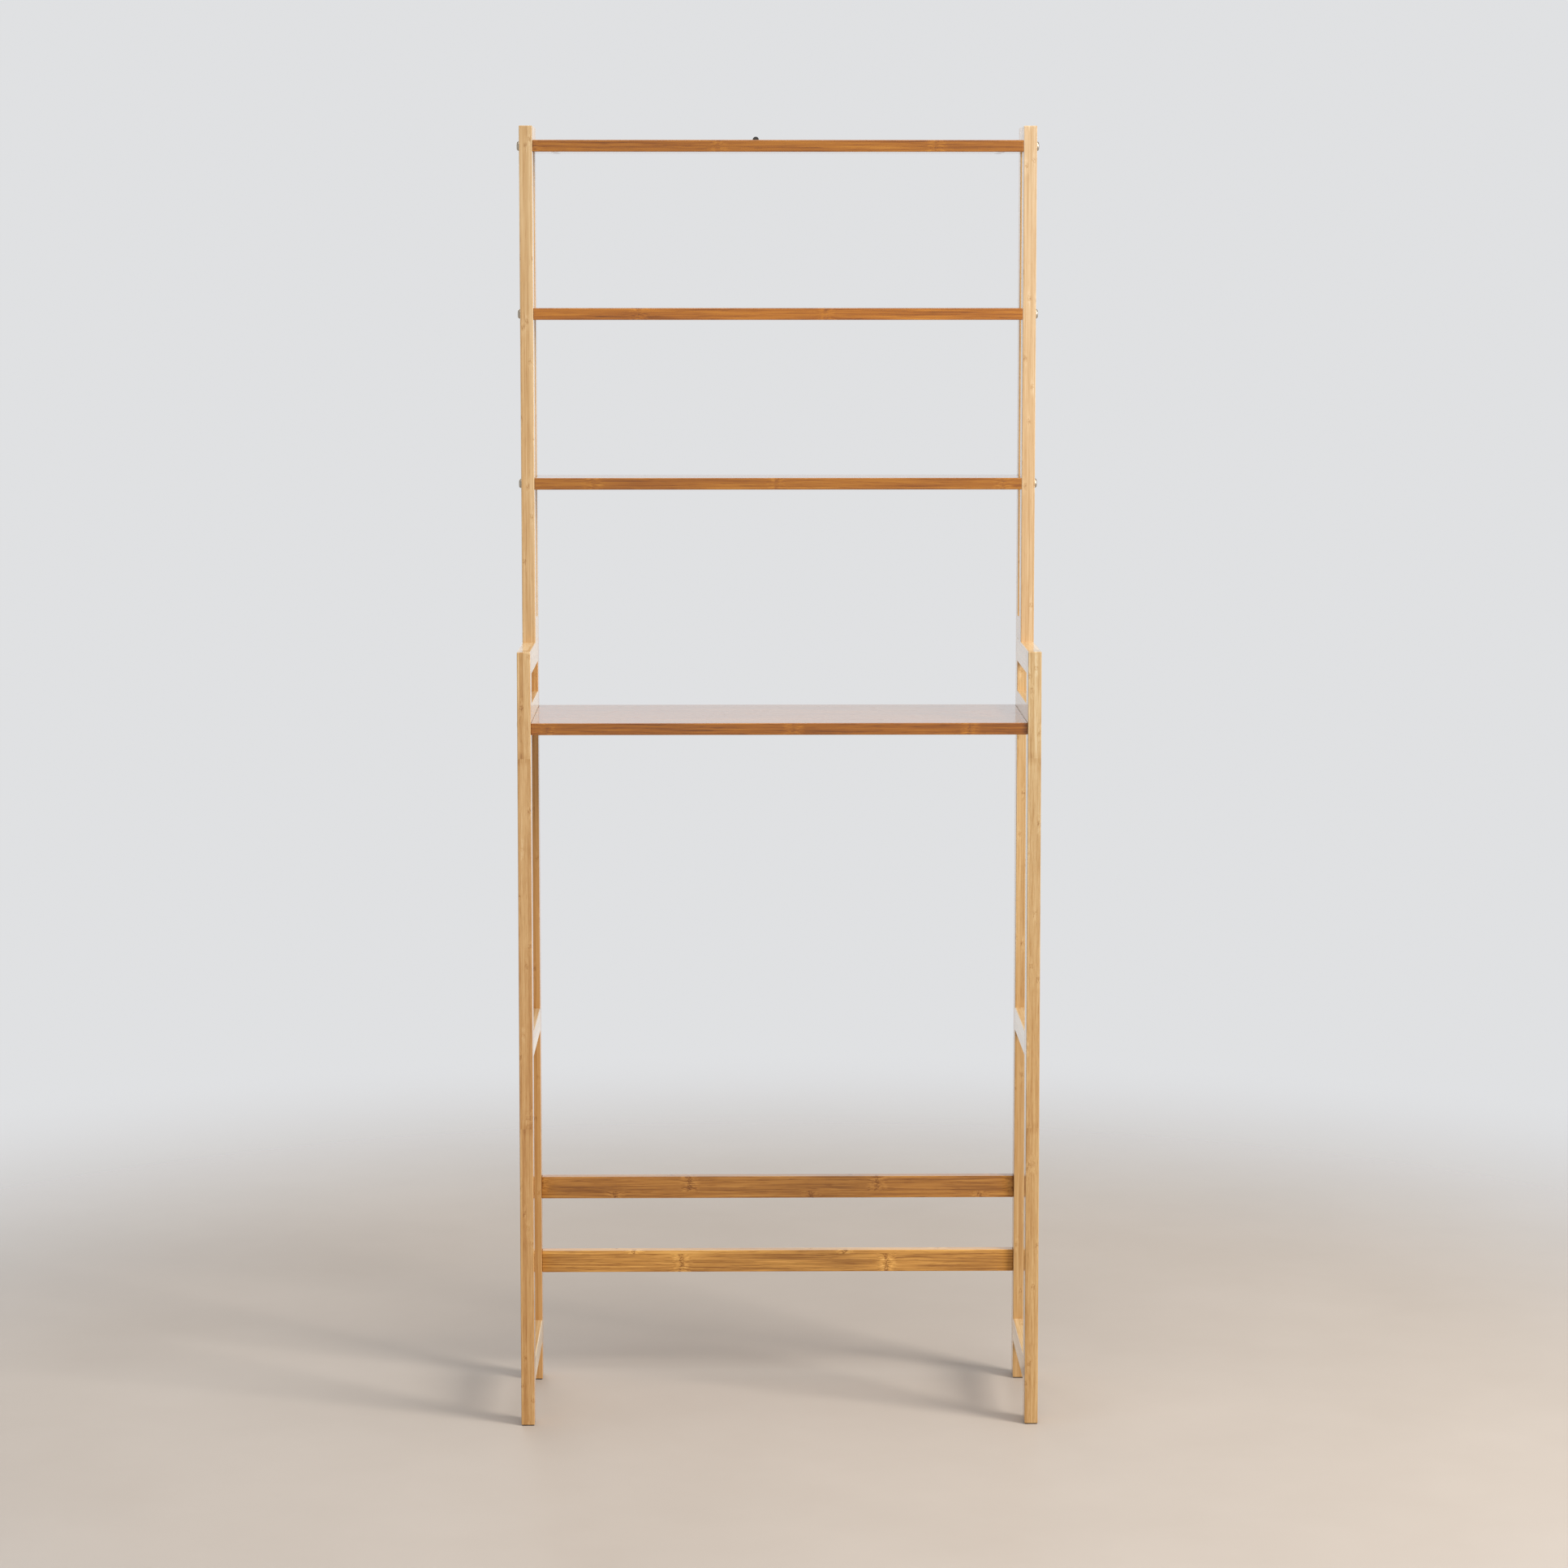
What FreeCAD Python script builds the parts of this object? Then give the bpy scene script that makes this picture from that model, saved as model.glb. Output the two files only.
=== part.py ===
import FreeCAD, Part
import os
import re

import Sketcher
from FreeCAD import Placement, Rotation, Vector

# An over-the-toilet storage rack in laminated bamboo: two lower side frames whose front legs
# lean forward, two narrow upper side frames standing on them, one deep shelf, three narrow
# shelves and two stretchers, held by dowels inside the frames and by bolts into barrel nuts.
# Frame: X across the width, +Y to the back, +Z up. The origin is on the floor, under the
# middle of the rack's box. Left is -X, seen from the front.

SIZES = {
    # Overall
    "overall_width": 660,       # over the outer faces of the side frames
    "overall_height": 1650,     # floor to the tops of the posts
    "floor_depth": 250,         # front feet to the rear plane
    "lower_depth": 228,         # the lower frame at its top, where the leg leans back
    "lower_high": 990,          # top of the lower frame, where the upper frame stands
    "upper_depth": 90,
    # Bamboo stock
    "stock_thick": 17,
    "stock_deep": 30,
    "rail_high": 30,
    "shelf_rail_high": 36,
    "shelf_thick": 15,
    "shelf_inset": 4,           # main shelf behind the front faces of the legs
    "stretcher_thick": 15,
    "stretcher_high": 29,
    "edge_round": 1,
    # Levels of upper faces above the floor
    "top_shelf_level": 1632,
    "second_shelf_level": 1419,
    "third_shelf_level": 1202,
    "main_shelf_level": 900,
    "shelf_rail_level": 921,
    "middle_rail_level": 501,
    "bottom_rail_level": 81,
    "upper_stretcher_level": 273,
    "lower_stretcher_level": 173,
    # Feet
    "foot_thick": 1.5,
    "foot_inset": 0.5,
    "foot_round": 2,
    # Bolts and barrel nuts
    "shank_diameter": 6,
    "shank_length": 50,
    "shank_chamfer": 0.8,
    "head_diameter": 12,
    "head_high": 3.5,
    "head_round": 2.6,
    "socket_flats": 4,
    "socket_deep": 2.4,
    "bolt_bore": 6.5,
    "bolt_reach": 36,           # depth of the bolt bore in a shelf or stretcher end
    "main_bolt_inset": 60,      # main shelf bolts from its front and rear edges
    "head_recess": 4,
    "head_bore": 13,
    "nut_diameter": 10,
    "nut_length": 11,
    "nut_bore": 10.2,
    "nut_deep": 13.2,
    "nut_reach": 28,            # end of a shelf or stretcher to the nut's middle
    "nut_slot_wide": 1.2,
    "nut_slot_deep": 1.2,
    "frame_nut_deep": 14.5,
    # Dowels
    "dowel_diameter": 6,
    "dowel_length": 20,
    "dowel_spacing": 14,
    "dowel_chamfer": 0.8,
    "joining_diameter": 8,
    "joining_length": 40,
    "end_gap": 0.5,             # left past each end of a dowel in its bore
    # Anti-tip bracket in the rear edge of the top shelf
    "bracket_offset": 28,       # left of the rack's middle
    "bracket_wide": 30,
    "bracket_high": 14,
    "bracket_thick": 2,
    "bracket_gap": 0.2,
    "tab_radius": 4,
    "tab_rise": 3,              # middle of the tab above the shelf's upper face
    "tab_hole": 3,
    "hole_rise": 1.6,           # middle of its hole above the same face
    "screw_spacing": 20,
    "screw_diameter": 3,
    "screw_bore": 3.2,
    "screw_length": 14,
    "screw_tip": 3,
    "screw_head": 6,
    "screw_head_high": 1.4,
    "screw_slot_long": 3.4,
    "screw_slot_wide": 0.8,
    "screw_slot_deep": 0.7,
}

# Places worked out from the sizes
BAR_X = "(overall_width / 2 - stock_thick / 2)"
INNER_X = "(overall_width / 2 - stock_thick)"
REAR = "(floor_depth / 2)"
REAR_FRONT = "(floor_depth / 2 - stock_deep)"           # front faces of rear legs and rear posts
REAR_MIDDLE = "(floor_depth / 2 - stock_deep / 2)"
UPPER_FRONT = "(floor_depth / 2 - upper_depth)"
POST_REAR = "(floor_depth / 2 - upper_depth + stock_deep)"
POST_MIDDLE = "(floor_depth / 2 - upper_depth + stock_deep / 2)"
GAP_MIDDLE = "(floor_depth / 2 - upper_depth / 2)"      # between front and rear posts
STRETCHER_FRONT = "(floor_depth / 2 - stock_deep / 2 - stretcher_thick / 2)"
SIDES = {"left": -1, "right": 1}
LOWER_RAILS = {
    "top_rail": ("lower_high", "rail_high"),
    "shelf_rail": ("shelf_rail_level", "shelf_rail_high"),
    "middle_rail": ("middle_rail_level", "rail_high"),
    "bottom_rail": ("bottom_rail_level", "rail_high"),
}
UPPER_RAILS = {
    "upper_top_rail": ("overall_height", "rail_high"),
    "upper_base_rail": ("(lower_high + rail_high)", "rail_high"),
}
UPPER_SHELVES = {
    "top_shelf": "top_shelf_level",
    "second_shelf": "second_shelf_level",
    "third_shelf": "third_shelf_level",
}
STRETCHERS = {
    "upper_stretcher": "upper_stretcher_level",
    "lower_stretcher": "lower_stretcher_level",
}
X_AXIS = Vector(1, 0, 0)
Y_AXIS = Vector(0, 1, 0)

doc = FreeCAD.newDocument("storage_rack")
sheet = doc.addObject("Spreadsheet::Sheet", "Sizes")
for row, (alias, value) in enumerate(SIZES.items(), start=1):
    sheet.set(f"A{row}", alias)
    sheet.set(f"B{row}", str(value))
    sheet.setAlias(f"B{row}", alias)
doc.recompute()

parts = {}


def bound(formula):
    """A formula in the sheet's words as a FreeCAD expression."""
    return re.sub(r"[a-z]\w*", lambda m: f"Sizes.{m[0]}" if m[0] in SIZES else m[0], formula)


def leg_front(z):
    """The leaning leg's front face at a height."""
    lean = "(floor_depth - lower_depth) / (lower_high - foot_thick)"
    return f"(-floor_depth / 2 + {lean} * ({z} - foot_thick))"


def leg_rear(z):
    return f"({leg_front(z)} + stock_deep)"


MAIN_FRONT = f"({leg_front('main_shelf_level')} + shelf_inset)"
MAIN_BOLT_ROWS = (f"({MAIN_FRONT} + main_bolt_inset)", f"({REAR} - main_bolt_inset)")


# Bodies, sketches and features

def place(thing, x="0", y="0", z="0", turn=None):
    """Sets a placement whose three distances follow the sheet."""
    thing.Placement = Placement(Vector(), turn or Rotation())
    for axis, formula in zip("xyz", (x, y, z)):
        thing.setExpression(f"Placement.Base.{axis}", bound(formula))


def new_body(label, kept=True, **where):
    body = doc.addObject("PartDesign::Body", label)
    body.Label = label
    place(body, **where)
    if kept:
        parts[label] = body
    return body


def new_sketch(body, role, offset="0"):
    """A sketch on one of the body's own origin planes, moved along +X, +Y or +Z by the offset."""
    sketch = body.newObject("Sketcher::SketchObject", f"{body.Name}_sketch")
    plane = next(f for f in body.Origin.OriginFeatures if f.Role == role)
    sketch.AttachmentSupport = [(plane, "")]
    sketch.MapMode = "FlatFace"
    toward = "-" if role == "XZ_Plane" else ""
    sketch.setExpression("AttachmentOffset.Base.z", bound(f"{toward}({offset})"))
    return sketch


def pin_point(sketch, geometry, end, x, y):
    """Holds one point of a sketch at two formulas, measured from its origin."""
    for kind, formula in (("DistanceX", x), ("DistanceY", y)):
        value = float(sketch.evalExpression(bound(formula)))
        index = sketch.addConstraint(Sketcher.Constraint(kind, -1, 1, geometry, end, value))
        sketch.setExpression(f"Constraints[{index}]", bound(formula))


def polygon(body, role, corners, offset="0"):
    sketch = new_sketch(body, role, offset)
    places = [[float(sketch.evalExpression(bound(f))) for f in corner] for corner in corners]
    count = len(corners)
    for i in range(count):
        start = Vector(*places[i], 0)
        end = Vector(*places[(i + 1) % count], 0)
        sketch.addGeometry(Part.LineSegment(start, end))
    for i, corner in enumerate(corners):
        sketch.addConstraint(Sketcher.Constraint("Coincident", i, 2, (i + 1) % count, 1))
        pin_point(sketch, i, 1, *corner)
    return sketch


def rectangle(body, role, x_low, x_high, y_low, y_high, offset="0"):
    corners = [(x_low, y_low), (x_high, y_low), (x_high, y_high), (x_low, y_high)]
    return polygon(body, role, corners, offset)


def circles(body, role, centres, diameter, offset="0"):
    sketch = new_sketch(body, role, offset)
    for i, (x, y) in enumerate(centres):
        middle = [float(sketch.evalExpression(bound(f))) for f in (x, y)]
        sketch.addGeometry(Part.Circle(Vector(*middle, 0), Vector(0, 0, 1), 1 + 0.01 * i))
        pin_point(sketch, i, 3, x, y)
        size = float(sketch.evalExpression(bound(diameter)))
        index = sketch.addConstraint(Sketcher.Constraint("Diameter", i, size))
        sketch.setExpression(f"Constraints[{index}]", bound(diameter))
    return sketch


def feature(body, kind, sketch, length, midplane=True):
    made = body.newObject(f"PartDesign::{kind}", f"{body.Name}_{kind.lower()}")
    made.Profile = sketch
    made.Midplane = midplane
    made.setExpression("Length", bound(length))
    doc.recompute()
    return made


def pad(body, sketch, length, midplane=True):
    return feature(body, "Pad", sketch, length, midplane)


def bore(body, sketch, depth):
    """Cuts to a depth on each side of the sketch, so that a sketch on a face cuts that deep."""
    return feature(body, "Pocket", sketch, f"2 * {depth}")


def ease(body, base, size, chosen, kind="Fillet"):
    """Rounds or chamfers the edges of a feature that pass a test."""
    names = [f"Edge{i}" for i, e in enumerate(base.Shape.Edges, start=1) if chosen(e)]
    made = body.newObject(f"PartDesign::{kind}", f"{body.Name}_{kind.lower()}")
    made.Base = (base, names)
    made.setExpression("Radius" if kind == "Fillet" else "Size", bound(size))
    doc.recompute()
    return made


def runs_along(edge, axis):
    """True for an edge that lies nearly along an axis."""
    ends = [v.Point for v in edge.Vertexes]
    return len(ends) == 2 and abs((ends[1] - ends[0]).normalize().dot(axis)) > 0.99


# Bars of the side frames, drawn in side view at their place and padded to the stock thickness

def bar(name, side, corners, along, free_end=0):
    """free_end is -1 or 1 for an upright whose top edges are eased too, on its front or rear."""
    body = new_body(f"{side}_{name}", x=f"{SIDES[side]} * {BAR_X}")
    base = pad(body, polygon(body, "YZ_Plane", corners), "stock_thick")
    box = base.Shape.BoundBox

    def is_eased(edge):
        if runs_along(edge, along):
            return True
        at_top = edge.BoundBox.ZMin > box.ZMax - 0.01
        outward = free_end * (edge.CenterOfMass.y - box.Center.y) > -0.01
        return bool(free_end) and at_top and (outward or runs_along(edge, Y_AXIS))

    ease(body, base, "edge_round", is_eased)
    return body


def dowel_heights(level, high):
    """The two dowel heights in the end of a rail."""
    middle = f"{level} - {high} / 2"
    return (f"({middle} - dowel_spacing / 2)", f"({middle} + dowel_spacing / 2)")


def dowel_bores(body, joint, heights):
    """Bores that run equally far into both pieces of a joint at that depth in the rack."""
    sketch = circles(body, "XZ_Plane", [("0", z) for z in heights], "dowel_diameter", joint)
    bore(body, sketch, "(dowel_length / 2 + end_gap)")


def cross_bores(body, centres):
    """Bolt bores right through a bar's thickness, at (depth, height) places in side view."""
    bore(body, circles(body, "YZ_Plane", centres, "bolt_bore"), "stock_thick")


def joining_bore(body, y):
    sketch = circles(body, "XY_Plane", [("0", y)], "joining_diameter", "lower_high")
    bore(body, sketch, "(joining_length / 2 + end_gap)")


def rail_end(level, high):
    """Where a lower rail meets the leaning leg, at the rail's mid-height."""
    return leg_rear(f"({level} - {high} / 2)")


def lower_frame(side):
    z_axis = Vector(0, 0, 1)
    front = bar("front_leg", side, [
        (leg_front("foot_thick"), "foot_thick"),
        (leg_rear("foot_thick"), "foot_thick"),
        (leg_rear("lower_high"), "lower_high"),
        (leg_front("lower_high"), "lower_high"),
    ], z_axis, free_end=-1)
    rear = bar("rear_leg", side, [
        (REAR_FRONT, "foot_thick"),
        (REAR, "foot_thick"),
        (REAR, "lower_high"),
        (REAR_FRONT, "lower_high"),
    ], z_axis)
    rear_dowels = []
    for name, (level, high) in LOWER_RAILS.items():
        below = f"({level} - {high})"
        rail = bar(name, side, [
            (leg_rear(below), below),
            (REAR_FRONT, below),
            (REAR_FRONT, level),
            (leg_rear(level), level),
        ], Y_AXIS)
        heights = dowel_heights(level, high)
        rear_dowels.extend(heights)
        for piece in (front, rail):
            dowel_bores(piece, rail_end(level, high), heights)
        dowel_bores(rail, REAR_FRONT, heights)
        if name == "shelf_rail":
            height = "(main_shelf_level - shelf_thick / 2)"
            cross_bores(rail, [(y, height) for y in MAIN_BOLT_ROWS])
        if name == "top_rail":
            joining_bore(rail, POST_MIDDLE)
            through = circles(rail, "XY_Plane", [("0", GAP_MIDDLE)], "bolt_bore", level)
            bore(rail, through, "rail_high")
            recess = circles(rail, "XY_Plane", [("0", GAP_MIDDLE)], "head_bore", below)
            bore(rail, recess, "head_recess")
    dowel_bores(rear, REAR_FRONT, rear_dowels)
    joining_bore(rear, REAR_MIDDLE)
    cross_bores(rear, [(REAR_MIDDLE, f"({z} - stretcher_high / 2)") for z in STRETCHERS.values()])


def upper_frame(side):
    posts = {
        "upper_front_post": (UPPER_FRONT, POST_REAR, POST_MIDDLE, POST_REAR, -1),
        "upper_rear_post": (REAR_FRONT, REAR, REAR_MIDDLE, REAR_FRONT, 1),
    }
    dowels = [z for rail in UPPER_RAILS.values() for z in dowel_heights(*rail)]
    for name, (front, rear, middle, joint, free_end) in posts.items():
        post = bar(name, side, [
            (front, "lower_high"),
            (rear, "lower_high"),
            (rear, "overall_height"),
            (front, "overall_height"),
        ], Vector(0, 0, 1), free_end)
        cross_bores(post, [(middle, f"({z} - shelf_thick / 2)") for z in UPPER_SHELVES.values()])
        dowel_bores(post, joint, dowels)
        joining_bore(post, middle)
    for name, (level, high) in UPPER_RAILS.items():
        below = f"({level} - {high})"
        rail = bar(name, side, [
            (POST_REAR, below),
            (REAR_FRONT, below),
            (REAR_FRONT, level),
            (POST_REAR, level),
        ], Y_AXIS)
        for joint in (POST_REAR, REAR_FRONT):
            dowel_bores(rail, joint, dowel_heights(level, high))
        if name == "upper_base_rail":
            up = circles(rail, "XY_Plane", [("0", GAP_MIDDLE)], "bolt_bore", below)
            bore(rail, up, "(rail_high - head_recess)")
            outer_face = f"{SIDES[side]} * stock_thick / 2"
            nut = circles(rail, "YZ_Plane", [(GAP_MIDDLE, f"({below} + rail_high / 2)")],
                          "nut_bore", outer_face)
            bore(rail, nut, "frame_nut_deep")


# Boards that span the frames, eased on every edge and bored at both ends for a bolt and,
# across it, a barrel nut

def end_bores(body, bolt_places, nut_role, nut_places, nut_face):
    bolts = bore(body, circles(body, "YZ_Plane", bolt_places, "bolt_bore", INNER_X), "bolt_reach")
    nuts = bore(body, circles(body, nut_role, nut_places, "nut_bore", nut_face), "nut_deep")
    other_end = body.newObject("PartDesign::Mirrored", f"{body.Name}_mirrored")
    other_end.Originals = [bolts, nuts]
    plane = next(f for f in body.Origin.OriginFeatures if f.Role == "YZ_Plane")
    other_end.MirrorPlane = (plane, [""])
    body.Tip = other_end
    doc.recompute()


def shelf(label, level, front, rows):
    """A board from a front line to the rear plane, its rows of bolts at depths in the rack."""
    body = new_body(label, z=f"{level} - shelf_thick")
    outline = rectangle(body, "XY_Plane", f"-{INNER_X}", INNER_X, front, REAR)
    board = pad(body, outline, "shelf_thick", midplane=False)
    ease(body, board, "edge_round", lambda e: True)
    end_bores(body, [(y, "shelf_thick / 2") for y in rows],
              "XY_Plane", [(f"({INNER_X} - nut_reach)", y) for y in rows], "0")
    return body


def stretcher(label, level):
    body = new_body(label, y=STRETCHER_FRONT, z=f"{level} - stretcher_high")
    outline = rectangle(body, "YZ_Plane", "0", "stretcher_thick", "0", "stretcher_high")
    base = pad(body, outline, f"2 * {INNER_X}")
    ease(body, base, "edge_round", lambda e: True)
    middle = "stretcher_high / 2"
    end_bores(body, [("stretcher_thick / 2", middle)],
              "XZ_Plane", [(f"({INNER_X} - nut_reach)", middle)], "stretcher_thick")


def cut_bracket_rebate(board):
    """A shallow rebate for the anti-tip bracket in the rear edge, open upward."""
    half = "(bracket_wide / 2 + bracket_gap)"
    sketch = rectangle(board, "XZ_Plane", f"(-bracket_offset - {half})", f"(-bracket_offset + {half})",
                       "(shelf_thick - bracket_high - bracket_gap)", "(shelf_thick + 1)", REAR)
    bore(board, sketch, "bracket_thick")
    screws = circles(board, "XZ_Plane", [
        (f"(-bracket_offset + {sign} * screw_spacing / 2)", "(shelf_thick - bracket_high / 2)")
        for sign in (-1, 1)
    ], "screw_diameter", REAR)
    bore(board, screws, "screw_length")


# Fittings that are made once and repeated in groups

def revolve(body, corners):
    """Turns a half profile, drawn on the XZ plane, about Z."""
    made = body.newObject("PartDesign::Revolution", f"{body.Name}_revolution")
    sketch = polygon(body, "XZ_Plane", corners)
    made.Profile = sketch
    made.ReferenceAxis = (sketch, ["V_Axis"])
    made.Angle = 360
    doc.recompute()
    return made


def make_bolt():
    """A socket bolt on Z whose head's underside is at the origin."""
    body = new_body("bolt", kept=False)
    radius = "shank_diameter / 2"
    turned = revolve(body, [
        ("0", "-shank_length"),
        (f"({radius} - shank_chamfer)", "-shank_length"),
        (radius, "(shank_chamfer - shank_length)"),
        (radius, "0"),
        ("head_diameter / 2", "0"),
        ("head_diameter / 2", "head_high"),
        ("0", "head_high"),
    ])
    rim = float(sheet.head_high)
    ease(body, turned, "head_round", lambda e: e.BoundBox.ZMin > rim - 0.01 and e.Length > 1)
    half, point = "socket_flats / 2", "socket_flats / sqrt(3)"
    socket = polygon(body, "XY_Plane", [
        (point, "0"), (f"{point} / 2", half), (f"-{point} / 2", half),
        (f"-{point}", "0"), (f"-{point} / 2", f"-{half}"), (f"{point} / 2", f"-{half}"),
    ], "head_high")
    bore(body, socket, "socket_deep")
    return body


def make_barrel_nut():
    """A cross dowel along Z, bored along X for the bolt, with a slot in its lower end."""
    body = new_body("barrel_nut", kept=False)
    pad(body, circles(body, "XY_Plane", [("0", "0")], "nut_diameter"), "nut_length")
    bore(body, circles(body, "YZ_Plane", [("0", "0")], "shank_diameter"), "nut_diameter")
    slot = rectangle(body, "XY_Plane", "-nut_diameter", "nut_diameter",
                     "-nut_slot_wide / 2", "nut_slot_wide / 2", "-nut_length / 2")
    bore(body, slot, "nut_slot_deep")
    return body


def make_dowel(label, role, diameter, length):
    """A round peg with chamfered ends, centred on the origin, across the given plane."""
    body = new_body(label, kept=False)
    peg = pad(body, circles(body, role, [("0", "0")], diameter), length)
    ease(body, peg, "dowel_chamfer", lambda e: e.Length > 1 and e.Closed, kind="Chamfer")
    return body


def make_screw():
    """A countersunk screw on Z whose head's flat face is at the origin."""
    body = new_body("screw", kept=False)
    revolve(body, [
        ("0", "-screw_length"),
        ("screw_diameter / 2", "(screw_tip - screw_length)"),
        ("screw_diameter / 2", "-screw_head_high"),
        ("screw_head / 2", "0"),
        ("0", "0"),
    ])
    long, wide = "screw_slot_long / 2", "screw_slot_wide / 2"
    for x, y in ((long, wide), (wide, long)):
        slot = rectangle(body, "XY_Plane", f"-{x}", x, f"-{y}", y)
        bore(body, slot, "screw_slot_deep")
    return body


def group(label, master, places):
    """One node of separate copies of a master, each at (x, y, z, turn)."""
    links = []
    for x, y, z, turn in places:
        link = doc.addObject("App::Link", f"{label}_{len(links) + 1}")
        link.LinkedObject = master
        place(link, x, y, z, turn)
        links.append(link)
    made = doc.addObject("Part::Compound", label)
    made.Label = label
    made.Links = links
    parts[label] = made


def bolts_and_nuts(label, bolt, nut, places, nut_turn):
    """Bolts driven in from both outer faces at (depth, height), with their barrel nuts."""
    heads, nuts = [], []
    for sign in SIDES.values():
        for y, z in places:
            heads.append((f"{sign} * overall_width / 2", y, z, Rotation(Y_AXIS, 90 * sign)))
            nuts.append((f"{sign} * ({INNER_X} - nut_reach)", y, z, nut_turn))
    group(f"{label}_bolts", bolt, heads)
    group(f"{label}_barrel_nuts", nut, nuts)


def join_frames(bolt, nut, peg):
    """A bolt up through each lower top rail, and a peg under each upper post."""
    head = "(lower_high - rail_high + head_recess)"
    group("frame_bolts", bolt, [
        (f"{sign} * {BAR_X}", GAP_MIDDLE, head, Rotation(X_AXIS, 180)) for sign in SIDES.values()
    ])
    group("frame_barrel_nuts", nut, [
        (f"{sign} * {BAR_X}", GAP_MIDDLE, "(lower_high + rail_high / 2)", Rotation(Y_AXIS, -90 * sign))
        for sign in SIDES.values()
    ])
    group("joining_dowels", peg, [
        (f"{sign} * {BAR_X}", y, "lower_high", None)
        for sign in SIDES.values() for y in (POST_MIDDLE, REAR_MIDDLE)
    ])


def rail_dowels(side, dowel):
    joints = []
    for level, high in LOWER_RAILS.values():
        joints += [(y, z) for y in (rail_end(level, high), REAR_FRONT)
                   for z in dowel_heights(level, high)]
    for level, high in UPPER_RAILS.values():
        joints += [(y, z) for y in (POST_REAR, REAR_FRONT) for z in dowel_heights(level, high)]
    group(f"{side}_rail_dowels", dowel, [(f"{SIDES[side]} * {BAR_X}", y, z, None) for y, z in joints])


# Feet and the anti-tip bracket

def foot(label, side, front):
    body = new_body(label, x=f"{SIDES[side]} * {BAR_X}", y=front)
    half = "(stock_thick / 2 - foot_inset)"
    outline = rectangle(body, "XY_Plane", f"-{half}", half, "foot_inset", "(stock_deep - foot_inset)")
    base = pad(body, outline, "foot_thick", midplane=False)
    ease(body, base, "foot_round", lambda e: runs_along(e, Vector(0, 0, 1)))


def anti_tip_bracket():
    """A plate let into the top shelf's rear edge, with a drilled round tab above the shelf."""
    body = new_body("anti_tip_bracket", x="-bracket_offset", y=f"({REAR} - bracket_thick)",
                    z="top_shelf_level")
    inner = "bracket_thick / 2"
    outlines = (
        rectangle(body, "XZ_Plane", "-bracket_wide / 2", "bracket_wide / 2", "-bracket_high", "0", inner),
        rectangle(body, "XZ_Plane", "-tab_radius", "tab_radius", "-bracket_high / 2", "tab_rise", inner),
        circles(body, "XZ_Plane", [("0", "tab_rise")], "(2 * tab_radius)", inner),
    )
    for outline in outlines:
        pad(body, outline, "bracket_thick")
    bore(body, circles(body, "XZ_Plane", [("0", "hole_rise")], "tab_hole", inner), "bracket_thick")
    places = [(f"{sign} * screw_spacing / 2", "-bracket_high / 2") for sign in (-1, 1)]
    holes = bore(body, circles(body, "XZ_Plane", places, "screw_bore", inner), "bracket_thick")
    rear, wide = float(sheet.bracket_thick), float(sheet.screw_bore) * 3
    level = -float(sheet.bracket_high) / 2

    def is_rear_rim(edge):
        centre = edge.BoundBox.Center
        return (edge.Closed and edge.Length > wide and abs(centre.z - level) < 0.01
                and centre.y > rear - 0.01)

    ease(body, holes, "screw_head_high", is_rear_rim, kind="Chamfer")
    group("bracket_screws", make_screw(), [
        (f"(-bracket_offset + {sign} * screw_spacing / 2)", REAR,
         "(top_shelf_level - bracket_high / 2)", Rotation(X_AXIS, -90))
        for sign in (-1, 1)
    ])


# The rack

for side in SIDES:
    lower_frame(side)
    upper_frame(side)
    foot(f"{side}_front_foot", side, leg_front("foot_thick"))
    foot(f"{side}_rear_foot", side, REAR_FRONT)

upper_rows = (POST_MIDDLE, REAR_MIDDLE)
upper_boards = {name: shelf(name, level, UPPER_FRONT, upper_rows)
                for name, level in UPPER_SHELVES.items()}
cut_bracket_rebate(upper_boards["top_shelf"])
shelf("main_shelf", "main_shelf_level", MAIN_FRONT, MAIN_BOLT_ROWS)
for name, level in STRETCHERS.items():
    stretcher(name, level)
anti_tip_bracket()

bolt, nut = make_bolt(), make_barrel_nut()
nut_from_rear = Rotation(X_AXIS, 90)
bolts_and_nuts("shelf", bolt, nut, [
    (y, f"({level} - shelf_thick / 2)") for level in UPPER_SHELVES.values() for y in upper_rows
], None)
bolts_and_nuts("main_shelf", bolt, nut, [
    (y, "(main_shelf_level - shelf_thick / 2)") for y in MAIN_BOLT_ROWS
], None)
bolts_and_nuts("stretcher", bolt, nut, [
    (REAR_MIDDLE, f"({level} - stretcher_high / 2)") for level in STRETCHERS.values()
], nut_from_rear)
join_frames(bolt, nut, make_dowel("joining_peg", "XY_Plane", "joining_diameter", "joining_length"))
dowel = make_dowel("dowel", "XZ_Plane", "dowel_diameter", "dowel_length")
for side in SIDES:
    rail_dowels(side, dowel)
doc.recompute()

# Every object has computed, every cut has removed something, and every piece is sound
failed = [o.Name for o in doc.Objects if {"Invalid", "Error"} & set(o.State)]
if failed:
    raise RuntimeError(f"objects that did not compute: {failed}")
for cut in doc.findObjects("PartDesign::Pocket"):
    if cut.Shape.Volume > cut.BaseFeature.Shape.Volume - 0.1:
        raise RuntimeError(f"{cut.Name} cuts nothing")
for label, piece in parts.items():
    if piece.Shape.isNull() or not piece.Shape.isValid():
        raise RuntimeError(f"{label} has no sound shape")

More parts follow.
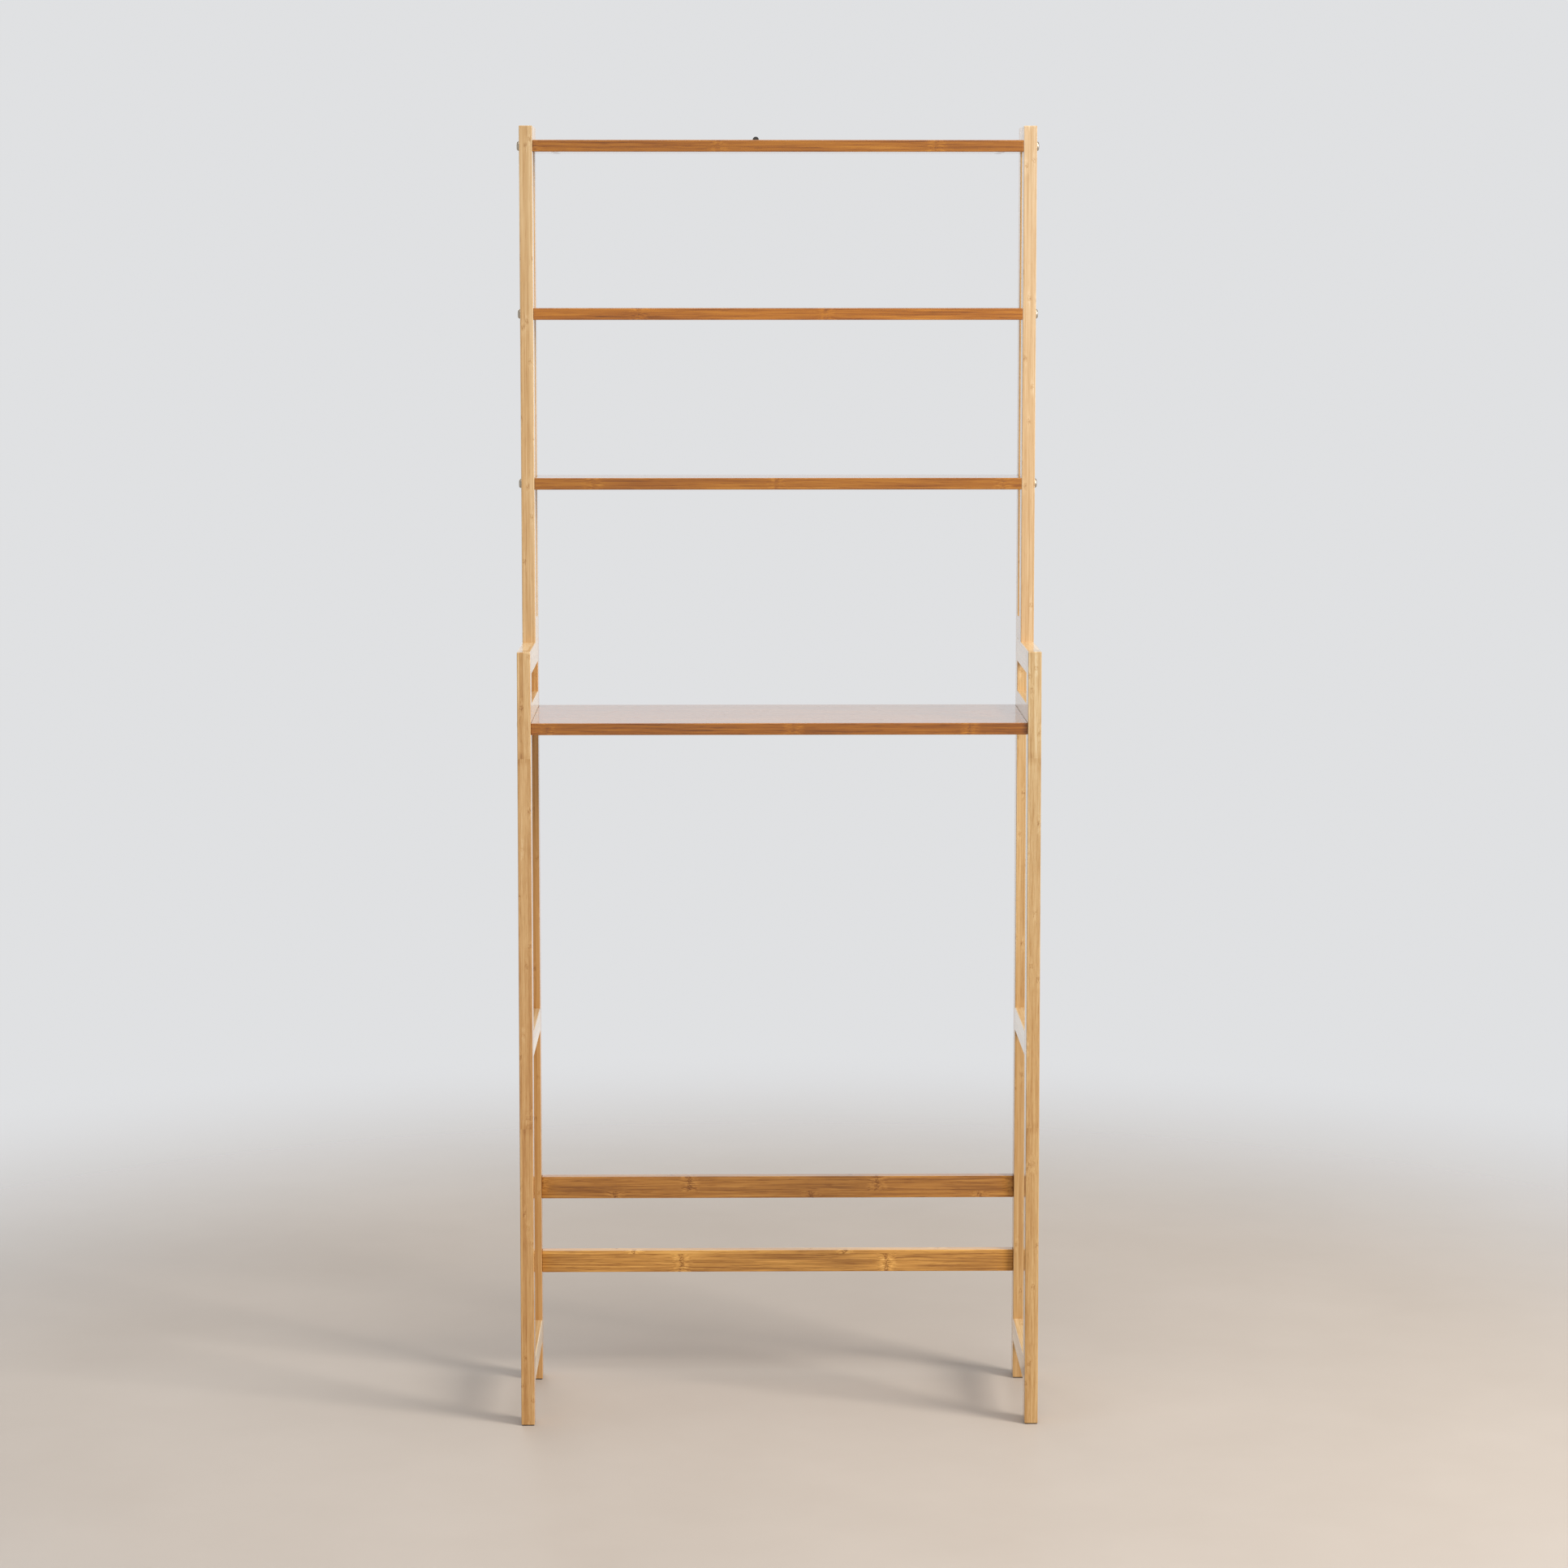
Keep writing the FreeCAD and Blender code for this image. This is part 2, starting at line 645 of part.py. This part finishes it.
os.makedirs("parts", exist_ok=True)
for label, piece in parts.items():
    piece.Shape.exportStep(f"parts/{label}.step")
    box = piece.Shape.BoundBox
    print(f"{label}: {len(piece.Shape.Solids)} solids, {piece.Shape.Volume / 1000:.2f} cm3,"
          f" {box.XLength:.1f} x {box.YLength:.1f} x {box.ZLength:.1f} mm")
whole = Part.Compound([piece.Shape for piece in parts.values()]).BoundBox
print(f"{len(parts)} nodes, box {whole.XMin:.2f}..{whole.XMax:.2f}, {whole.YMin:.2f}..{whole.YMax:.2f},"
      f" {whole.ZMin:.2f}..{whole.ZMax:.2f}")
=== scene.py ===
import math

import bpy
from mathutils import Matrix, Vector


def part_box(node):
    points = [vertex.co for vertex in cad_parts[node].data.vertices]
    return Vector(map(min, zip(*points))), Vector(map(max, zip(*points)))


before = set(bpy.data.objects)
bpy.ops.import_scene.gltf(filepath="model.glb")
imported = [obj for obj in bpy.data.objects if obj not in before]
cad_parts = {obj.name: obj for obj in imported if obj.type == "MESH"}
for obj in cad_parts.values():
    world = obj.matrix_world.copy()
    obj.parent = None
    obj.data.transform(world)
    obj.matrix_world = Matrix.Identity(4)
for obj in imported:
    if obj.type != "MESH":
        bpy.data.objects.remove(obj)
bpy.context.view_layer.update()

# The looks of an over-the-toilet bamboo storage rack. Every shape of the rack comes from the
# frame; this script gives each node its material and adds the floor, the lights and the camera.
# Metres, +X to the right, +Y to the back, +Z up. Left is -X.

MM = 0.001
AXES = {"x": 0, "y": 1, "z": 2}


# Node trees

class Tree:
    """A node tree that is written as nested calls, each of which returns an output socket."""

    def __init__(self, tree):
        self.tree = tree

    def node(self, kind, inputs=None, output=0, **settings):
        made = self.tree.nodes.new(kind)
        for key, value in settings.items():
            setattr(made, key, value)
        for key, value in (inputs or {}).items():
            if isinstance(value, bpy.types.NodeSocket):
                self.tree.links.new(value, made.inputs[key])
            else:
                made.inputs[key].default_value = value
        return made.outputs[output]

    def math(self, operation, a, b=0.0, clamp=False):
        return self.node("ShaderNodeMath", {0: a, 1: b}, operation=operation, use_clamp=clamp)

    def add(self, a, b):
        return self.math("ADD", a, b)

    def mul(self, a, b):
        return self.math("MULTIPLY", a, b)

    def vector(self, x, y, z):
        return self.node("ShaderNodeCombineXYZ", {0: x, 1: y, 2: z})

    def split(self, vector):
        made = self.tree.nodes.new("ShaderNodeSeparateXYZ")
        self.tree.links.new(vector, made.inputs[0])
        return made.outputs

    def fade(self, value, near, far, low=0.0, high=1.0):
        """A smooth step from low at near to high at far."""
        return self.node("ShaderNodeMapRange", {0: value, 1: near, 2: far, 3: low, 4: high},
                         interpolation_type="SMOOTHSTEP")

    def noise(self, vector, scale, detail=2.0, roughness=0.5):
        inputs = {"Vector": vector, "Scale": scale, "Detail": detail, "Roughness": roughness}
        return self.node("ShaderNodeTexNoise", inputs)

    def random(self, vector):
        """Three random numbers for a cell, as the parts of a colour."""
        return self.split(self.node("ShaderNodeTexWhiteNoise", {"Vector": vector}, output="Color"))

    def mix(self, factor, a, b, blend="MIX"):
        made = self.tree.nodes.new("ShaderNodeMix")
        made.data_type = "RGBA"
        made.blend_type = blend
        for index, value in ((0, factor), (6, a), (7, b)):
            if isinstance(value, bpy.types.NodeSocket):
                self.tree.links.new(value, made.inputs[index])
            else:
                made.inputs[index].default_value = value
        return made.outputs[2]

    def ramp(self, factor, stops):
        made = self.tree.nodes.new("ShaderNodeValToRGB")
        self.tree.links.new(factor, made.inputs[0])
        elements = made.color_ramp.elements
        while len(elements) < len(stops):
            elements.new(0.5)
        for element, (position, colour) in zip(elements, stops):
            element.position = position
            element.color = (*colour, 1)
        return made.outputs[0]


def new_material(name, **fixed):
    """A Principled material whose even values are set on the shader's own sockets."""
    material = bpy.data.materials.new(name)
    material.use_nodes = True
    tree = Tree(material.node_tree)
    shader = material.node_tree.nodes["Principled BSDF"]
    for socket, value in fixed.items():
        shader.inputs[socket.replace("_", " ")].default_value = value
    return material, tree, shader


def link(tree, output, shader, socket):
    tree.tree.links.new(output, shader.inputs[socket])


def bump(tree, shader, height, distance, strength=1.0):
    inputs = {"Height": height, "Distance": distance, "Strength": strength}
    link(tree, tree.node("ShaderNodeBump", inputs), shader, "Normal")


def dress(names, material):
    for name in names:
        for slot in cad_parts[name].material_slots:
            slot.material = material


# Laminated bamboo

BAMBOO_INPUTS = (("Vector", "Vector"), ("Thin", "Float"), ("Wide", "Float"), ("Seed", "Float"),
                 ("Knots", "Float"), ("Spread", "Float"))
BAMBOO_OUTPUTS = ("Tone", "Fibre", "Knuckle", "Height")
KNUCKLE_SPACING = 230 * MM


def centred(tree, value, amount):
    """A value from 0 to 1 as a swing of plus or minus half the amount."""
    return tree.mul(tree.math("SUBTRACT", value, 0.5), amount)


def bamboo_group():
    """Laminated bamboo in a bar's own axes, in metres: x along the grain, y across the strips'
    thin way and z across their wide way. Each strip has its own tone, and knuckles at its own
    places, round which the fibres part."""
    group = bpy.data.node_groups.new("laminated_bamboo", "ShaderNodeTree")
    for name, kind in BAMBOO_INPUTS:
        group.interface.new_socket(name, in_out="INPUT", socket_type=f"NodeSocket{kind}")
    for name in BAMBOO_OUTPUTS:
        group.interface.new_socket(name, in_out="OUTPUT", socket_type="NodeSocketFloat")
    t = Tree(group)
    given = group.nodes.new("NodeGroupInput").outputs
    out = group.nodes.new("NodeGroupOutput")
    x, y, z = t.split(given["Vector"])

    across = t.math("DIVIDE", y, given["Thin"])
    deep = t.math("DIVIDE", z, given["Wide"])
    strip = t.math("FLOOR", across)
    layer = t.math("FLOOR", deep)
    place = t.math("FRACT", across)
    place_deep = t.math("FRACT", deep)
    own = t.random(t.vector(strip, layer, given["Seed"]))

    # Knuckles: at places that differ from strip to strip, with a frayed core and a wider halo
    along = t.add(t.math("DIVIDE", x, KNUCKLE_SPACING), t.mul(own[0], 7.0))
    span = t.math("FLOOR", along)
    drift = t.random(t.vector(t.add(strip, t.mul(layer, 17.0)), span, given["Seed"]))
    offset = t.math("SUBTRACT", t.math("FRACT", along), t.add(t.mul(drift[0], 0.5), 0.25))
    bow = t.mul(t.math("POWER", t.math("SUBTRACT", place_deep, 0.5), 2.0), 9 * MM)
    curl = t.noise(t.vector(t.mul(x, 330.0), t.mul(y, 420.0), t.mul(z, 420.0)), 1.0, 2.0, 0.6)
    reach = t.math("ABSOLUTE", t.add(t.mul(offset, KNUCKLE_SPACING), bow))
    frayed = t.add(reach, centred(t, curl, 10.0 * MM))
    core = t.fade(frayed, 1.0 * MM, 4.6 * MM, 1.0, 0.0)
    halo = t.fade(reach, 1.5 * MM, 17 * MM, 1.0, 0.0)

    # Fibres, drawn out along the grain and parting round each knuckle
    part = t.mul(halo, 2.4 * MM)
    y_parted = t.add(y, t.mul(t.math("SUBTRACT", place, 0.5), part))
    z_parted = t.add(z, t.mul(t.math("SUBTRACT", place_deep, 0.5), t.mul(part, 3.0)))
    wander = centred(t, t.noise(t.vector(x, strip, layer), 9.0), 1.6 * MM)
    y_fibre = t.add(y_parted, t.mul(wander, 0.35))
    z_fibre = t.add(z_parted, wander)
    seed = t.mul(given["Seed"], 3.1)

    def streaks(x_scale, cross_scale, detail, roughness=0.5):
        drawn_out = t.vector(t.add(t.mul(x, x_scale), seed), t.mul(y_fibre, cross_scale),
                             t.mul(z_fibre, cross_scale))
        return t.noise(drawn_out, 1.0, detail, roughness)

    fine = streaks(14.0, 1250.0, 3.0, 0.62)
    broad = streaks(9.0, 430.0, 2.0)
    dashes = streaks(46.0, 1500.0, 1.0)
    swirl = streaks(150.0, 760.0, 2.0)
    cloud = t.noise(t.vector(t.add(t.mul(x, 5.0), seed), t.mul(y, 40.0), t.mul(z, 40.0)), 1.0, 1.0)
    speckle = t.vector(t.mul(x, 480.0), t.mul(y_parted, 700.0), t.mul(z_parted, 700.0))
    pits = t.noise(speckle, 1.0, 2.0, 0.7)

    edge = t.mul(t.math("MINIMUM", place, t.math("SUBTRACT", 1.0, place)), given["Thin"])
    edge_deep = t.mul(t.math("MINIMUM", place_deep, t.math("SUBTRACT", 1.0, place_deep)), given["Wide"])
    seam = t.fade(t.math("MINIMUM", edge, edge_deep), 0.10 * MM, 0.50 * MM, 1.0, 0.0)
    knuckle = t.mul(core, t.fade(pits, 0.44, 0.58, 1.0, 0.0))

    # Tone from 0 for the darkest fibres to 1 for the palest, and height for the bump
    tone = t.add(0.5, centred(t, own[1], given["Spread"]))
    for value, amount in ((broad, 1.05), (fine, 0.70), (cloud, 0.45)):
        tone = t.add(tone, centred(t, value, amount))
    tone = t.math("SUBTRACT", tone, t.mul(t.fade(dashes, 0.58, 0.72), 0.24))
    tone = t.add(tone, t.mul(halo, centred(t, swirl, 1.1)))
    tone = t.add(tone, t.mul(halo, 0.13))
    tone = t.math("SUBTRACT", tone, t.mul(knuckle, t.mul(given["Knots"], 0.50)))
    tone = t.math("SUBTRACT", tone, t.mul(seam, 0.20))
    height = t.add(t.mul(fine, 0.5), t.mul(knuckle, -0.7))
    height = t.add(height, t.mul(seam, -0.8))
    for name, value in zip(BAMBOO_OUTPUTS, (tone, fine, knuckle, height)):
        t.tree.links.new(value, out.inputs[name])
    return group


BAMBOO = bamboo_group()

# Colours from the darkest fibres to the palest, as linear values
HONEY = ((0.0, (0.30, 0.115, 0.026)), (0.32, (0.52, 0.255, 0.075)),
         (0.62, (0.66, 0.375, 0.140)), (1.0, (0.78, 0.52, 0.245)))
CARAMEL = ((0.0, (0.110, 0.030, 0.004)), (0.34, (0.240, 0.076, 0.011)),
           (0.64, (0.335, 0.122, 0.021)), (1.0, (0.470, 0.205, 0.050)))
AMBER = ((0.0, (0.200, 0.068, 0.009)), (0.34, (0.410, 0.172, 0.030)),
         (0.64, (0.560, 0.268, 0.058)), (1.0, (0.710, 0.410, 0.130)))


def bamboo(node, along, thin, strip, colours, seed, phase=(0.0, 0.0), lean=0.0,
           tint=(1.0, 1.0, 1.0), top_tint=None, knots=1.0, spread=0.44, contrast=1.0,
           gloss=(0.14, 0.36, 0.12)):
    """Gives a node its own bamboo. along and thin are its axes for the grain and for the strips'
    thin way; strip is (thin, wide) in mm; phase moves the seams in mm from the node's low
    corner; lean turns the grain about X. tint scales the colours, and top_tint those at its top;
    knots, spread and contrast set how strong the knuckles, the strips' own tones and the grain are;
    gloss is the roughness of the lacquer and of the bamboo, and the bamboo's own shine."""
    lacquer, base, shine = gloss
    material, tree, shader = new_material(
        f"{node}_bamboo", Coat_Weight=1.0, Coat_Roughness=lacquer, Coat_IOR=1.5,
        Specular_IOR_Level=shine)
    low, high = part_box(node)
    wide = ({"x", "y", "z"} - {along, thin}).pop()
    moved = tree.node("ShaderNodeMapping", {
        "Vector": tree.node("ShaderNodeTexCoord", output="Object"),
        "Location": tuple(low),
        "Rotation": (lean, 0.0, 0.0),
    }, vector_type="TEXTURE")
    parts = tree.split(moved)
    local = tree.vector(
        parts[AXES[along]],
        tree.add(parts[AXES[thin]], phase[0] * MM),
        tree.add(parts[AXES[wide]], phase[1] * MM))
    group = tree.tree.nodes.new("ShaderNodeGroup")
    group.node_tree = BAMBOO
    tree.tree.links.new(local, group.inputs["Vector"])
    for name, value in (("Thin", strip[0] * MM), ("Wide", strip[1] * MM), ("Seed", float(seed)),
                        ("Knots", knots), ("Spread", spread)):
        group.inputs[name].default_value = value
    grain = group.outputs
    own = [(stop, tuple(c * k for c, k in zip(colour, tint))) for stop, colour in colours]
    colour = tree.ramp(tree.add(0.5, centred(tree, grain["Tone"], contrast)), own)
    # Towards its top the bar's colour moves to top_tint: painted light, standing for light and lacquer
    # sheen that are brighter higher up the uprights.
    if top_tint:
        change = (*(b / a for a, b in zip(tint, top_tint)), 1)
        rise = tree.fade(parts[2], 0.35 * (high.z - low.z), high.z - low.z)
        colour = tree.mix(1.0, colour, tree.mix(rise, (1, 1, 1, 1), change), blend="MULTIPLY")
    link(tree, colour, shader, "Base Color")
    rough = tree.add(base, centred(tree, grain["Fibre"], 0.30))
    link(tree, tree.add(rough, tree.mul(grain["Knuckle"], 0.12)), shader, "Roughness")
    bump(tree, shader, grain["Height"], 0.03 * MM, 0.6)
    dress([node], material)


# Tints of the uprights, over the whole bar and at its top (None for the same all the way up).
# They are set so that each bar looks right from the front, so some of the difference
# between bars, and from top to bottom, stands for light and shade rather than for the bamboo's own
# tone.
UPRIGHTS = {
    "left_front_leg": ((0.87, 0.86, 0.85), (0.96, 1.10, 1.38)),
    "left_rear_leg": ((0.84, 0.78, 0.70), None),
    "left_upper_front_post": ((1.00, 1.21, 1.68), (0.92, 1.15, 1.66)),
    "left_upper_rear_post": ((0.90, 1.00, 1.15), None),
    "right_front_leg": ((0.92, 1.02, 1.16), (0.93, 1.18, 1.68)),
    "right_rear_leg": ((0.90, 0.98, 1.12), (1.16, 1.45, 2.00)),
    "right_upper_front_post": ((0.98, 1.20, 1.78), (0.90, 1.14, 1.80)),
    "right_upper_rear_post": ((1.10, 1.32, 1.65), None),
}


RAILS = ("top_rail", "shelf_rail", "middle_rail", "bottom_rail", "upper_top_rail",
         "upper_base_rail")
# The rails' tint makes them paler than the uprights: partly their own paler bamboo, partly painted
# light standing for the bright light on their top faces from above.
RAIL_TINT_AND_LIGHT = (1.22, 1.62, 2.50)
FRAME_STRIP = (4.6, 21.0)  # mm, thin and wide
# How bright each shelf's bamboo is
SHELVES = {"top_shelf": 1.02, "second_shelf": 1.28, "third_shelf": 1.07, "main_shelf": 1.18}


def bamboo_frames():
    """The side frames: strips stand side by side across the stock's thin way."""
    low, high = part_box("left_front_leg")
    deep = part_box("left_rear_leg")[1].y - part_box("left_rear_leg")[0].y
    lean = math.atan2(high.y - low.y - deep, high.z - low.z)
    for step, (name, (tint, top_tint)) in enumerate(UPRIGHTS.items()):
        bamboo(name, "z", "x", FRAME_STRIP, HONEY, 11 + 7 * step,
               phase=(1.4 + 0.9 * (step % 4), 4.0 + 3 * (step % 4)),
               lean=lean if name.endswith("front_leg") else 0.0, tint=tint, top_tint=top_tint,
               contrast=0.65)
    for number, side in enumerate(("left", "right")):
        for step, name in enumerate(RAILS):
            bamboo(f"{side}_{name}", "y", "x", FRAME_STRIP, HONEY, 81 + 40 * number + step,
                   phase=(0.8 + 0.7 * step, 3.0 + 2 * step), tint=RAIL_TINT_AND_LIGHT, contrast=0.65)


def bamboo_boards():
    """The shelves and stretchers: strips stand on edge, so a front edge shows their wide faces."""
    for step, (name, bright) in enumerate(SHELVES.items()):
        bamboo(name, "x", "y", (6.2, 40.0), CARAMEL, 160 + 3 * step, phase=(1.0, 12.0),
               tint=(bright, bright, bright * 0.5), knots=0.45, spread=0.16,
               gloss=(0.08, 0.24, 0.20))
    bamboo("upper_stretcher", "x", "y", (7.8, 20.5), AMBER, 191, phase=(0.1, 11.5), spread=0.16)
    bamboo("lower_stretcher", "x", "y", (7.8, 25.0), AMBER, 197, phase=(0.1, 0.5), spread=0.16,
           tint=(1.44, 1.66, 2.00))


# Fittings

def metal(name, colour, roughness, scratch, nodes):
    """Plated steel with fine turning marks and dulled patches."""
    material, tree, shader = new_material(name, Base_Color=(*colour, 1), Metallic=1.0)
    place = tree.node("ShaderNodeTexCoord", output="Object")
    patches = tree.noise(place, 260.0, 3.0, 0.6)
    grit = tree.noise(place, 2600.0, 2.0)
    rough = tree.add(roughness, centred(tree, patches, 0.22))
    link(tree, tree.add(rough, centred(tree, grit, 0.10)), shader, "Roughness")
    bump(tree, shader, grit, scratch * MM, 0.4)
    dress(nodes, material)


def black_coat(nodes):
    """Black powder coat: a fine orange peel with lighter worn grains."""
    material, tree, shader = new_material("black_powder_coat", Specular_IOR_Level=0.5)
    place = tree.node("ShaderNodeTexCoord", output="Object")
    peel = tree.noise(place, 1500.0, 2.0, 0.55)
    worn = tree.noise(place, 420.0, 3.0, 0.6)
    link(tree, tree.ramp(worn, ((0.35, (0.012, 0.012, 0.013)), (0.75, (0.050, 0.049, 0.048)))),
         shader, "Base Color")
    link(tree, tree.fade(worn, 0.3, 0.7, 0.34, 0.52), shader, "Roughness")
    bump(tree, shader, peel, 0.06 * MM, 0.8)
    dress(nodes, material)


def felt(nodes):
    """Dark pressed felt: matted fibres with a soft sheen."""
    material, tree, shader = new_material(
        "pressed_felt", Sheen_Weight=0.5, Sheen_Roughness=0.5, Specular_IOR_Level=0.2)
    place = tree.node("ShaderNodeTexCoord", output="Object")
    tangle = tree.noise(tree.node("ShaderNodeVectorMath", {0: place, 1: (1.0, 1.0, 2.5)},
                                  operation="MULTIPLY"), 1800.0, 4.0, 0.7)
    link(tree, tree.ramp(tangle, ((0.30, (0.020, 0.014, 0.010)), (0.70, (0.105, 0.075, 0.055)))),
         shader, "Base Color")
    link(tree, tree.fade(tangle, 0.2, 0.8, 0.80, 0.98), shader, "Roughness")
    bump(tree, shader, tangle, 0.25 * MM)
    dress(nodes, material)


def beech(nodes):
    """Fluted beech dowels, hidden in the joints: short flecks on pale wood."""
    material, tree, shader = new_material("beech_dowel", Specular_IOR_Level=0.4)
    x, y, z = tree.split(tree.node("ShaderNodeTexCoord", output="Object"))
    fibres = tree.vector(tree.mul(x, 1400.0), tree.mul(y, 90.0), tree.mul(z, 1400.0))
    grain = tree.noise(fibres, 1.0, 3.0)
    link(tree, tree.ramp(grain, ((0.30, (0.46, 0.29, 0.16)), (0.70, (0.66, 0.47, 0.30)))),
         shader, "Base Color")
    link(tree, tree.fade(grain, 0.3, 0.7, 0.55, 0.72), shader, "Roughness")
    bump(tree, shader, grain, 0.1 * MM, 0.5)
    dress(nodes, material)


def fittings():
    metal("zinc_bolts", (0.50, 0.44, 0.36), 0.42, 0.02,
          ("shelf_bolts", "main_shelf_bolts", "stretcher_bolts", "frame_bolts"))
    metal("zinc_nuts", (0.72, 0.72, 0.71), 0.36, 0.04,
          ("shelf_barrel_nuts", "main_shelf_barrel_nuts", "stretcher_barrel_nuts", "frame_barrel_nuts"))
    black_coat(("anti_tip_bracket", "bracket_screws"))
    felt([f"{side}_{end}_foot" for side in ("left", "right") for end in ("front", "rear")])
    beech(("left_rail_dowels", "right_rail_dowels", "joining_dowels"))


# Floor, light and camera

def floor():
    """A pale floor that fades into the backdrop all round."""
    half = 4.0
    mesh = bpy.data.meshes.new("floor")
    corners = [(-half, -half, 0), (half, -half, 0), (half, half, 0), (-half, half, 0)]
    mesh.from_pydata(corners, [], [(0, 1, 2, 3)])
    made = bpy.data.objects.new("floor", mesh)
    bpy.context.collection.objects.link(made)
    material, tree, shader = new_material("pale_floor", Roughness=0.55, Specular_IOR_Level=0.3)
    place = tree.node("ShaderNodeTexCoord", output="Object")
    soft = tree.noise(place, 3.0, 4.0, 0.6)
    link(tree, tree.ramp(soft, ((0.3, (0.50, 0.44, 0.385)), (0.7, (0.53, 0.47, 0.415)))),
         shader, "Base Color")
    away = tree.node("ShaderNodeVectorMath", {0: place}, output="Value", operation="LENGTH")
    shown = tree.node("ShaderNodeMixShader", {
        0: tree.fade(away, 0.9, 2.4),
        1: shader.outputs[0],
        2: tree.node("ShaderNodeBsdfTransparent"),
    })
    tree.tree.links.new(shown, tree.tree.nodes["Material Output"].inputs[0])
    mesh.materials.append(material)


def area_light(name, place, target, size, power, colour):
    data = bpy.data.lights.new(name, "AREA")
    data.shape = "RECTANGLE"
    data.size, data.size_y = size
    data.energy = power
    data.color = colour
    made = bpy.data.objects.new(name, data)
    made.location = place
    made.rotation_euler = (Vector(target) - Vector(place)).to_track_quat("-Z", "Y").to_euler()
    made.visible_camera = False
    bpy.context.collection.objects.link(made)


def lights():
    """A pale studio, darker towards the front and much darker overhead, with a warm key light
    from the right, a large soft panel at the front right, and soft lights above and behind."""
    world = bpy.data.worlds.new("studio")
    world.use_nodes = True
    tree = Tree(world.node_tree)
    back, up = tree.split(tree.node("ShaderNodeTexCoord", output="Generated"))[1:3]
    band = tree.mix(tree.fade(back, -0.7, 0.6), (0.60, 0.606, 0.618, 1), (0.745, 0.752, 0.765, 1))
    shade = tree.mix(tree.fade(up, 0.30, 0.70), band, (0.30, 0.305, 0.315, 1))
    tree.tree.links.new(shade, world.node_tree.nodes["Background"].inputs["Color"])
    bpy.context.scene.world = world
    area_light("key", (3.0, -1.9, 2.6), (0, 0, 0.9), (1.2, 1.6), 142, (1.0, 0.95, 0.88))
    area_light("front_panel", (1.5, -3.6, 1.9), (0, 0, 1.1), (1.8, 2.2), 13, (1.0, 0.97, 0.93))
    area_light("overhead", (0.3, -0.6, 3.5), (0, 0, 0.8), (2.0, 2.0), 46, (1.0, 0.98, 0.95))
    area_light("rear_fill", (-1.6, 3.4, 2.4), (0, 0, 0.9), (2.0, 2.0), 25, (1.0, 0.98, 0.96))


def camera():
    data = bpy.data.cameras.new("camera")
    data.lens = 93.4
    data.shift_y = -0.03
    data.clip_start, data.clip_end = 0.1, 60
    made = bpy.data.objects.new("camera", data)
    made.location = (-0.057, -5.195, 1.455)
    made.rotation_euler = (math.radians(90 - 6.412), 0, math.radians(-0.706))
    bpy.context.collection.objects.link(made)
    bpy.context.scene.camera = made


bamboo_frames()
bamboo_boards()
fittings()
floor()
lights()
camera()
bpy.context.scene.view_settings.view_transform = "Standard"
